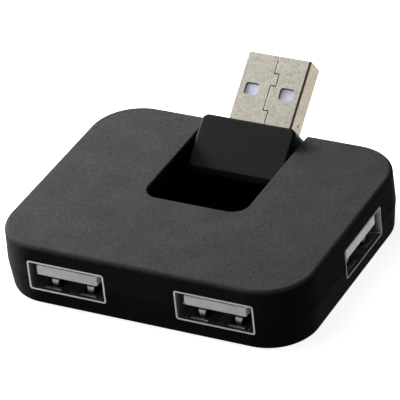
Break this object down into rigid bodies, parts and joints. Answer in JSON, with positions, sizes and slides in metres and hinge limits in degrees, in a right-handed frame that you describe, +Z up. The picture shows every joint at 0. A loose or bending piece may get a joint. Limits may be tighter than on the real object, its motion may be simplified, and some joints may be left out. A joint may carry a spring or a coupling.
{
  "type": "usb hub",
  "caption": "Flat rounded-square hub with USB-A sockets in its front and sides and a USB-A plug on a block that folds into a slot open at the back.",
  "frame": {"origin": "bottom centre of the box around the whole hub with the plug in its stored, half-raised pose", "axes": "+X to the right seen from the front, +Y from the front sockets to the open end of the plug slot, +Z up"},
  "size_m": [0.0558, 0.0578, 0.0194],
  "materials": {
    "casing_black": "soft-touch matte",
    "arm_black": "fine satin",
    "port_steel": "nickel plated",
    "plug_steel": "nickel plated, satin",
    "port_plastic": "moulded",
    "plug_plastic": "moulded",
    "contact_gold": "gold flash",
    "board_green": "solder mask",
    "chip_black": "moulded",
    "crystal_can": "drawn",
    "fuse_green": "matte",
    "capacitor_tan": "matte",
    "wire_insulation": "matte",
    "pin_metal": "turned"
  },
  "bodies": {
    "hub_body": {"top_shell": "casing_black", "bottom_shell": "casing_black", "port_front_left_shell": "port_steel", "port_front_left_insulator": "port_plastic", "port_front_left_contacts": "contact_gold", "port_front_right_shell": "port_steel", "port_front_right_insulator": "port_plastic", "port_front_right_contacts": "contact_gold", "port_right_shell": "port_steel", "port_right_insulator": "port_plastic", "port_right_contacts": "contact_gold", "port_left_shell": "port_steel", "port_left_insulator": "port_plastic", "port_left_contacts": "contact_gold", "main_pcb": "board_green", "hub_controller_chip": "chip_black", "crystal_oscillator": "crystal_can", "resettable_fuse": "fuse_green", "bulk_capacitors": "capacitor_tan", "chip_capacitors": "capacitor_tan", "chip_resistors": "chip_black", "hub_wires": "wire_insulation"},
    "plug_arm": {"arm_housing": "arm_black", "arm_cover": "arm_black", "plug_shell": "plug_steel", "plug_insulator": "plug_plastic", "plug_contacts": "contact_gold", "plug_wires": "wire_insulation", "hinge_pin_right": "pin_metal", "hinge_pin_left": "pin_metal"}
  },
  "joints": [
    {"name": "plug_fold", "type": "hinge", "parent": "hub_body", "child": "plug_arm", "pos_m": [0, 0.01115, 0.0063], "axis": [1, 0, 0], "range_deg": [-38.8, 141.2]}
  ]
}
